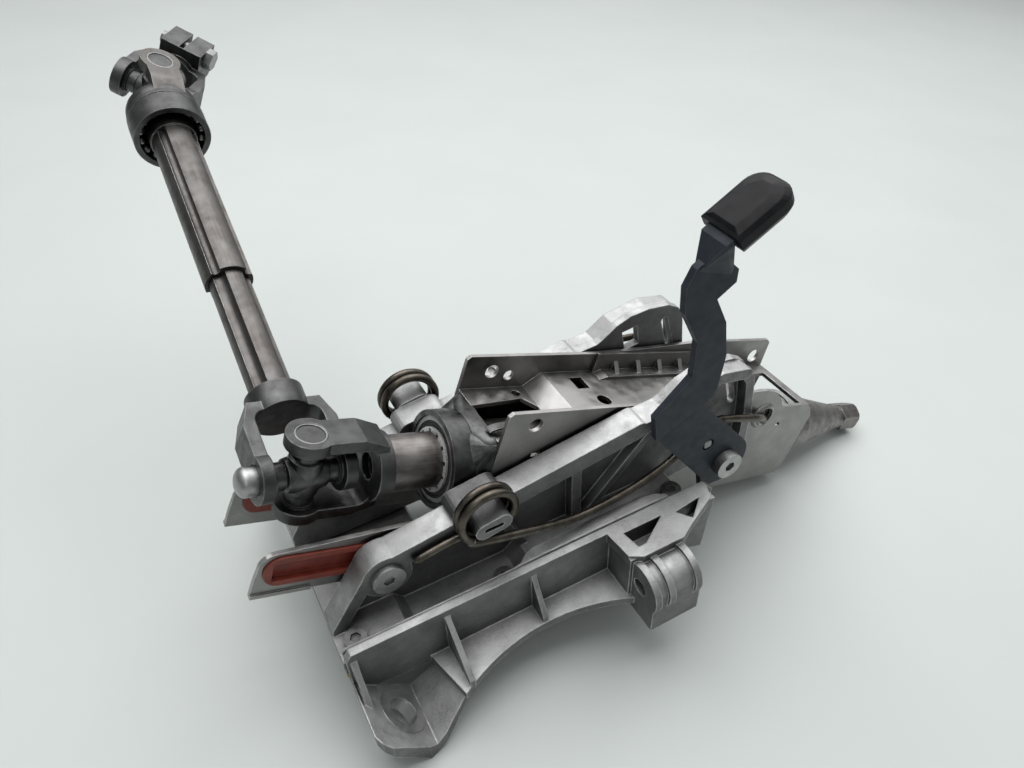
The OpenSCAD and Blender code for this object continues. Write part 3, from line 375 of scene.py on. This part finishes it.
def catmull(points, steps):
    """A smooth curve through the points."""
    pts = [Vector(p) for p in points]
    pts = [2 * pts[0] - pts[1], *pts, 2 * pts[-1] - pts[-2]]
    out = []
    for a, b, c, d in zip(pts, pts[1:], pts[2:], pts[3:]):
        for i in range(steps):
            t = i / steps
            square, cube = 2 * a - 5 * b + 4 * c - d, 3 * b - a - 3 * c + d
            out.append(0.5 * (2 * b + (c - a) * t + square * t * t + cube * t ** 3))
    out.append(pts[-2])
    return out


def skin(count, n, closed=False):
    """Faces between rows of n points each, with the last row joined to the first if closed."""
    faces = []
    for k in range(count if closed else count - 1):
        j = (k + 1) % count
        faces += [(k * n + i, k * n + (i + 1) % n, j * n + (i + 1) % n, j * n + i) for i in range(n)]
    return faces


def smooth_object(name, mesh):
    """A smooth-shaded object in the scene."""
    mesh.polygons.foreach_set("use_smooth", [True] * len(mesh.polygons))
    obj = bpy.data.objects.new(name, mesh)
    scene.collection.objects.link(obj)
    return obj


def tube(name, path, radius, sides=16, caps=(True, True)):
    """A round wire along a path, with flat ends where caps says so."""
    n = len(path)
    tangents = [(path[min(i + 1, n - 1)] - path[max(i - 1, 0)]).normalized() for i in range(n)]
    side = tangents[0].orthogonal().normalized()
    verts = []
    for p, t in zip(path, tangents):
        side = (side - side.dot(t) * t).normalized()
        other = t.cross(side)
        for k in range(sides):
            a = 2 * math.pi * k / sides
            verts.append(p + radius * (math.cos(a) * side + math.sin(a) * other))
    faces = skin(n, sides)
    if caps[0]:
        faces.append(tuple(range(sides - 1, -1, -1)))
    if caps[1]:
        faces.append(tuple((n - 1) * sides + k for k in range(sides)))
    mesh = bpy.data.meshes.new(name)
    mesh.from_pydata([tuple(v) for v in verts], [], faces)
    return smooth_object(name, mesh)


def spring_paths(side):
    """Centre lines of a spring's coil with half its leg, and of the rest of its leg with the hook."""
    y0 = -CHEEK_OUT - WIRE_R - SIDE_GAP
    y1 = y0 - (2 * WIRE_R + COIL_GAP) * COIL_TURNS
    hook_x = HOOK_S * SLOPE_COS + HOOK_H * SLOPE_SIN
    hook_z = HOOK_H * SLOPE_COS - HOOK_S * SLOPE_SIN
    coil = []
    for i in range(COIL_STEPS + 1):
        a = math.radians(360 * COIL_TURNS * i / COIL_STEPS + COIL_START)
        y = y0 + (y1 - y0) * i / COIL_STEPS
        coil.append((SPRING_X + COIL_R * math.cos(a), y, SPRING_Z + COIL_R * math.sin(a)))
    start = [(14, y0, 6), (32, y0, 9)]
    leg = [(74, y1 + 0.6, 2), (105, y1 + 2, -7), (140, y1 + 4.5, -8), (170, y1 + 7, -2), (SPLIT_X, y0, SPLIT_Z)]
    hook = [(hook_x - 26, y0, hook_z + 26), (hook_x - 13, y0 + 6, hook_z + 14)]
    hook += [(hook_x + x, -HALF_W + y, hook_z + z)
             for x, y, z in ((-6, -8, 5), (-1, -3, 1.2), (3, 2, -1), (6, 6, -2.5))]
    curve = catmull(start + coil + leg + hook, CURVE_STEPS)
    line = [lay((p[0], p[1] * side, p[2])) for p in curve]
    split_x = lay((SPLIT_X, 0, SPLIT_Z)).x
    cut = next(i for i, p in enumerate(line) if i > CURVE_STEPS * COIL_STEPS and p.x > split_x)
    return line[:cut + 1], line[cut:]


for side, name in ((1, "near_spring"), (-1, "far_spring")):
    first, second = spring_paths(side)
    coil = tube(name + "_coil", first, WIRE_R / 1000, caps=(True, False))
    hook = tube(name + "_hook", second, WIRE_R / 1000, caps=(False, True))
    for piece in (coil, hook):
        piece.data.materials.append(MATS["spring_steel"])
        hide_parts(name)
    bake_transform(coil)
    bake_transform(hook)

# Detail pieces, with sizes in millimetres
SHARP_ANGLE = 40
upper_at = box_pt((-JOINT_S, 0, AXIS_H))
lower_at = upper_at + SHAFT_R @ Vector((LOWER_S / 1000, 0, 0))
axis_x, box_y = BOX_R @ Vector((1, 0, 0)), BOX_R @ Vector((0, 1, 0))
shaft_axis = SHAFT_R @ Vector((1, 0, 0))


def add_mesh(name, verts, faces, slot, body):
    """A new piece with a material, riding on a body."""
    mesh = bpy.data.meshes.new(name)
    mesh.from_pydata([tuple(v) for v in verts], [], faces)
    bm = bmesh.new()
    bm.from_mesh(mesh)
    bmesh.ops.recalc_face_normals(bm, faces=bm.faces)
    bm.to_mesh(mesh)
    bm.free()
    obj = smooth_object(name, mesh)
    mesh.set_sharp_from_angle(angle=math.radians(SHARP_ANGLE))
    mesh.materials.append(MATS[slot])
    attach(obj, body)


def lathe(name, profile, centre, axis, slot, body, count=64):
    """A closed profile of radius and height, turned about an axis."""
    axis = Vector(axis).normalized()
    side = axis.orthogonal().normalized()
    other = axis.cross(side)
    verts = []
    for k in range(count):
        a = math.radians(360 * k / count)
        out = math.cos(a) * side + math.sin(a) * other
        verts += [centre + (r * out + h * axis) / 1000 for r, h in profile]
    add_mesh(name, verts, skin(count, len(profile), closed=True), slot, body)


def loft(name, rings, slot, body):
    """A closed skin over a row of rings with the same number of points."""
    n, last = len(rings[0]), len(rings) - 1
    ends = [tuple(range(n)), tuple(last * n + i for i in range(n))]
    add_mesh(name, [v for ring in rings for v in ring], ends + skin(len(rings), n), slot, body)


def cut_corners(a0, a1, b0, b1, c):
    """An upright rectangle with its corners cut by c."""
    return [(a0 + c, b0), (a1 - c, b0), (a1, b0 + c), (a1, b1 - c),
            (a1 - c, b1), (a0 + c, b1), (a0, b1 - c), (a0, b0 + c)]


def strap(name, path, across, width, thick, slot, body):
    """A bent strip of sheet along a path, with its edges cut."""
    outline = cut_corners(-width / 2, width / 2, -thick / 2, thick / 2, 0.2)
    rings = []
    for i, p in enumerate(path):
        along = (path[min(i + 1, len(path) - 1)] - path[max(i - 1, 0)]).normalized()
        out = along.cross(across).normalized()
        rings.append([p + (a * across + b * out) / 1000 for a, b in outline])
    loft(name, rings, slot, body)


# Universal joints: profiles of half a cross's hub, of a rubber seal and of a snap ring
HALF_HUB = [(4.8, -12.8), (6.4, -12.8), (6.9, -12.2), (6.9, -11.0), (8.3, -10.0), (9.2, -6.0), (9.6, 0)]
HUB = HALF_HUB + [(r, -h) for r, h in HALF_HUB[-2::-1]]
SEAL = [(5.3, 15.6), (7.1, 15.6), (7.7, 16.0), (7.2, 16.3), (7.7, 16.6), (7.2, 16.9), (5.3, 16.9)]
SNAP_RING = cut_corners(7.0, CUP_R - 0.1, EAR_OUT - 0.65, EAR_OUT - 0.1, 0.15)


def joint_details(name, centre, forks, cross_body):
    """Hubs and rubber seals of a cross, and the snap rings in the ears around it."""
    for label, axis, body, signs in forks:
        lathe(f"{name}_{label}_hub", HUB, centre, axis, "dark_steel", cross_body)
        for sign in (-1, 1):
            tag = f"{name}_{label}_{'b' if sign > 0 else 'a'}"
            lathe(tag + "_seal", SEAL, centre, sign * axis, "seal_rubber", cross_body)
            if sign in signs:
                lathe(tag + "_clip", SNAP_RING, centre, sign * axis, "bolt_steel", body)


joint_details("upper", upper_at, (
    ("yoke", BOX_R @ Vector((0, 0, 1)), "steering_shaft", (-1, 1)),
    ("fork", UPPER_R @ Vector((0, 1, 0)), "fork_shaft", (-1,)),
), "upper_cross")
joint_details("lower", lower_at, (
    ("tube", SHAFT_R @ Vector((0, 0, 1)), "outer_shaft", (-1, 1)),
    ("clamp", LOWER_R @ Vector((0, 1, 0)), "clamp_yoke", (-1, 1)),
), "lower_cross")

# Seal between the races of the front bearing
WAVE = [(17.8, 34.7), (18.3, 34.4), (19.2, 34.9), (20.1, 34.4), (20.7, 34.7), (20.7, 35.4), (17.8, 35.4)]
lathe("front_bearing_seal", WAVE, box_pt((0, 0, AXIS_H)), axis_x, "seal_rubber", "guide_box", count=96)

# Bell behind the seal ring, which closes the root of the lower fork
BELL = [
    (14.4, 268.4), (21.6, 268.4), (22.8, 269.4), (22.8, 272.5), (22.2, 273.2), (22.5, 274.0), (22.0, 279.2),
    (21.4, 280.0), (20.2, 280.0), (19.8, 279.4), (20.2, 272.0), (18.8, 270.8), (14.4, 270.8),
]
lathe("joint_bell", BELL, upper_at, shaft_axis, "forged_steel", "outer_shaft", count=96)

# Raised edge of the cheeks' feet beside the base rails: place along the rail, top and inner side
FOOT_OUTER, FOOT_LOW, FOOT_CUT = -58.4, -36.6, 0.7
FOOT_EDGE = [
    (-33, -19, -57.0), (-31, -17.4, -56.7), (62, -17.4, -56.7), (67, -17.2, -55.8), (72, -16.6, -52.0),
    (78, -16.4, -50.2), (148, -16.4, -50.6), (156, -16.8, -52.5), (161, -17.6, -55.0), (163, -20, -55.8),
]
for side, name in SIDES:
    rings = []
    for x, high, inner in FOOT_EDGE:
        outline = cut_corners(FOOT_OUTER, inner, FOOT_LOW, high, FOOT_CUT)
        rings.append([lay((x, y * side, z)) for y, z in outline])
    loft(name + "_foot_edge", rings, "cast_aluminium", "base")

# Rolled rims of the slot liners, on the faces that look at the cheeks, outside the shoes' reach
RIM_INSET, RIM_R, RIM_OUT, ROLL_R, ROLL_SIDES, END_STEPS = 4.6, 7.35, 0.1, 0.0006, 8, 12
for side, name in SIDES:
    loop = []
    for end, first in ((SLOT_BACK - RIM_INSET, -90), (SLOT_FRONT + RIM_INSET, 90)):
        for k in range(END_STEPS + 1):
            a = math.radians(first + 180 / END_STEPS * k)
            loop.append(box_pt((end + RIM_R * math.cos(a), -side * (HALF_W + RIM_OUT), RIM_R * math.sin(a))))
    out = BOX_R @ Vector((0, -side, 0))
    verts = []
    for i, p in enumerate(loop):
        wide = (loop[(i + 1) % len(loop)] - loop[i - 1]).normalized().cross(out)
        for k in range(ROLL_SIDES):
            a = 2 * math.pi / ROLL_SIDES * k
            verts.append(p + ROLL_R * (math.cos(a) * wide + math.sin(a) * out))
    faces = skin(len(loop), ROLL_SIDES, closed=True)
    add_mesh(name + "_liner_rim", verts, faces, "liner_plastic", "guide_box")

# Bent clip in the mouth of the guide box: two fingers, the lower one hooked, as places along the box and heights
CLIP_Y, CLIP_W, CLIP_T = -15, 5, 1.1
FINGERS = {
    "upper": [(70, 68.2), (64, 68.8), (58, 68.4), (54, 67.4), (52, 66.2)],
    "lower": [(70, 67.7), (67, 65.4), (62, 64.2), (57.5, 64), (55, 62.4), (56, 60.0), (59, 58.8)],
}
for label, points in FINGERS.items():
    path = catmull([box_pt((s, CLIP_Y, h)) for s, h in points], CURVE_STEPS)
    strap(f"mouth_clip_{label}", path, box_y, CLIP_W, CLIP_T, "dark_steel", "guide_box")

# Drawn hood that runs from the front bearing's round housing to the square mouth of the guide box
HOOD_R, HOOD_SKIN, HOOD_STEPS = 26.9, 1.2, 10
HOOD_FROM, HOOD_TURN, HOOD_COUNT = -38, 256, 48
HOOD_START, HOOD_END, HOOD_EAR = 46.0, 54.6, 8.6
HOOD_WIDE, HOOD_TALL, HOOD_SQUARE = 25.8, 27.7, 0.6
HOOD_WIDE_GAIN, HOOD_TALL_GAIN, HOOD_EAR_POWER = 1.32, 1.25, 1.5


def squared(size, gain, x):
    """A sine or cosine drawn out towards a square's side."""
    return size * math.copysign(min(1, abs(gain * x)) ** HOOD_SQUARE, x)


hood_angles = [math.radians(HOOD_FROM + HOOD_TURN * k / HOOD_COUNT) for k in range(HOOD_COUNT + 1)]
hood_shrink = 1 - HOOD_SKIN / HOOD_R
rings = []
for i in range(HOOD_STEPS + 1):
    t = i / HOOD_STEPS
    flare = 1 - (1 - t) ** 2
    outer = []
    for a in hood_angles:
        c, v = math.cos(a), math.sin(a)
        wide = squared(HOOD_WIDE, HOOD_WIDE_GAIN, c)
        tall = squared(HOOD_TALL, HOOD_TALL_GAIN, v)
        end_s = HOOD_END + HOOD_EAR * abs(c) ** HOOD_EAR_POWER
        outer.append((HOOD_START + (end_s - HOOD_START) * t, HOOD_R * c + (wide - HOOD_R * c) * flare,
                      HOOD_R * v + (tall - HOOD_R * v) * flare))
    inner = [(s, y * hood_shrink, h * hood_shrink) for s, y, h in reversed(outer)]
    rings.append([box_pt((s, y, AXIS_H + h)) for s, y, h in outer + inner])
loft("bearing_hood", rings, "dark_steel", "guide_box")

# Square peg of the moving cam, in the lever's hole: offset from the clamp bolt, and half widths along it
PEG_X, PEG_Z, PEG_CUT = -14, 20, 0.7
PEG = [(-49.8, 2.7), (-54.3, 2.7), (-54.9, 2.2)]
clamp_at = rot_y(SLOPE) @ Vector((CLAMP_S, 0, CLAMP_H))
rings = []
for y, half in PEG:
    outline = cut_corners(-half, half, -half, half, PEG_CUT)
    rings.append([lay((clamp_at.x + PEG_X + a, y, clamp_at.z + PEG_Z + b)) for a, b in outline])
loft("cam_peg", rings, "bolt_steel", "lever")

# Flared rims of the holes that the springs hook into
HOOK_RIM = [(6.6, 25.6), (9.6, 25.9), (9.2, 26.5), (8.2, 27.5), (7.4, 27.8), (6.7, 27.5)]
hook_at = box_pt((HOOK_S + 2, 0, HOOK_H))
for side, name in SIDES:
    lathe(name + "_hook_rim", HOOK_RIM, hook_at, -side * box_y, "sheet_steel", "guide_box")

# Floor
FLOOR_HALF = 4
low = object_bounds()[0][2]
floor_mesh = bpy.data.meshes.new("floor")
corners = [(x * FLOOR_HALF, y * FLOOR_HALF, low) for x, y in ((-1, -1), (1, -1), (1, 1), (-1, 1))]
floor_mesh.from_pydata(corners, [], [(0, 1, 2, 3)])
floor = bpy.data.objects.new("floor", floor_mesh)
scene.collection.objects.link(floor)
g = Graph("floor")
floor_tone = g.mix(g.ramp(g.noise(6, 3), 0.3, 0.7), (0.55, 0.585, 0.57), (0.575, 0.605, 0.59))
g.link(floor_tone, g.shader.inputs["Base Color"])
g.shader.inputs["Roughness"].default_value = 0.34
g.shader.inputs["Specular IOR Level"].default_value = 0.14
floor_mesh.materials.append(g.mat)

# Studio around the part: darker below, paler above
STUDIO_LOW, STUDIO_HIGH, STUDIO_STRENGTH = (0.12, 0.125, 0.13, 1), (0.78, 0.80, 0.80, 1), 0.7
scene.world = bpy.data.worlds.new("studio")
scene.world.use_nodes = True
world = scene.world.node_tree
sky = world.nodes["Background"]
gradient = world.nodes.new("ShaderNodeTexGradient")
coords = world.nodes.new("ShaderNodeTexCoord")
turn = world.nodes.new("ShaderNodeMapping")
turn.inputs["Rotation"].default_value = (0, math.radians(90), 0)
shade = world.nodes.new("ShaderNodeValToRGB")
shade.color_ramp.elements[0].color = STUDIO_LOW
shade.color_ramp.elements[1].color = STUDIO_HIGH
world.links.new(coords.outputs["Generated"], turn.inputs["Vector"])
world.links.new(turn.outputs["Vector"], gradient.inputs["Vector"])
world.links.new(gradient.outputs["Fac"], shade.inputs["Fac"])
world.links.new(shade.outputs["Color"], sky.inputs["Color"])
sky.inputs["Strength"].default_value = STUDIO_STRENGTH

# Lamps, which all point at the middle of the part: place, size, power and colour
MIDDLE = (-0.2, 0, 0.05)
WHITE = (1, 1, 1)
LAMPS = {
    "key": ((-0.2, 0.5, 1.9), (2.4, 2.0), 41, WHITE),
    "back": ((0.75, 1.75, 1.35), (2.8, 1.3), 12, WHITE),
    "fill": ((1.5, 0.4, 1.2), (1.0, 1.0), 4, (0.97, 0.99, 1)),
    "front": ((-1.0, -1.3, 1.1), (0.8, 0.6), 1.5, WHITE),
}
for name, (place, size, power, tint) in LAMPS.items():
    data = bpy.data.lights.new(name, "AREA")
    data.shape = "RECTANGLE"
    data.size, data.size_y = size
    data.energy = power
    data.color = tint
    obj = bpy.data.objects.new(name, data)
    scene.collection.objects.link(obj)
    obj.location = place
    obj.rotation_euler = (Vector(MIDDLE) - Vector(place)).to_track_quat("-Z", "Y").to_euler()

scene.view_settings.view_transform = "Standard"
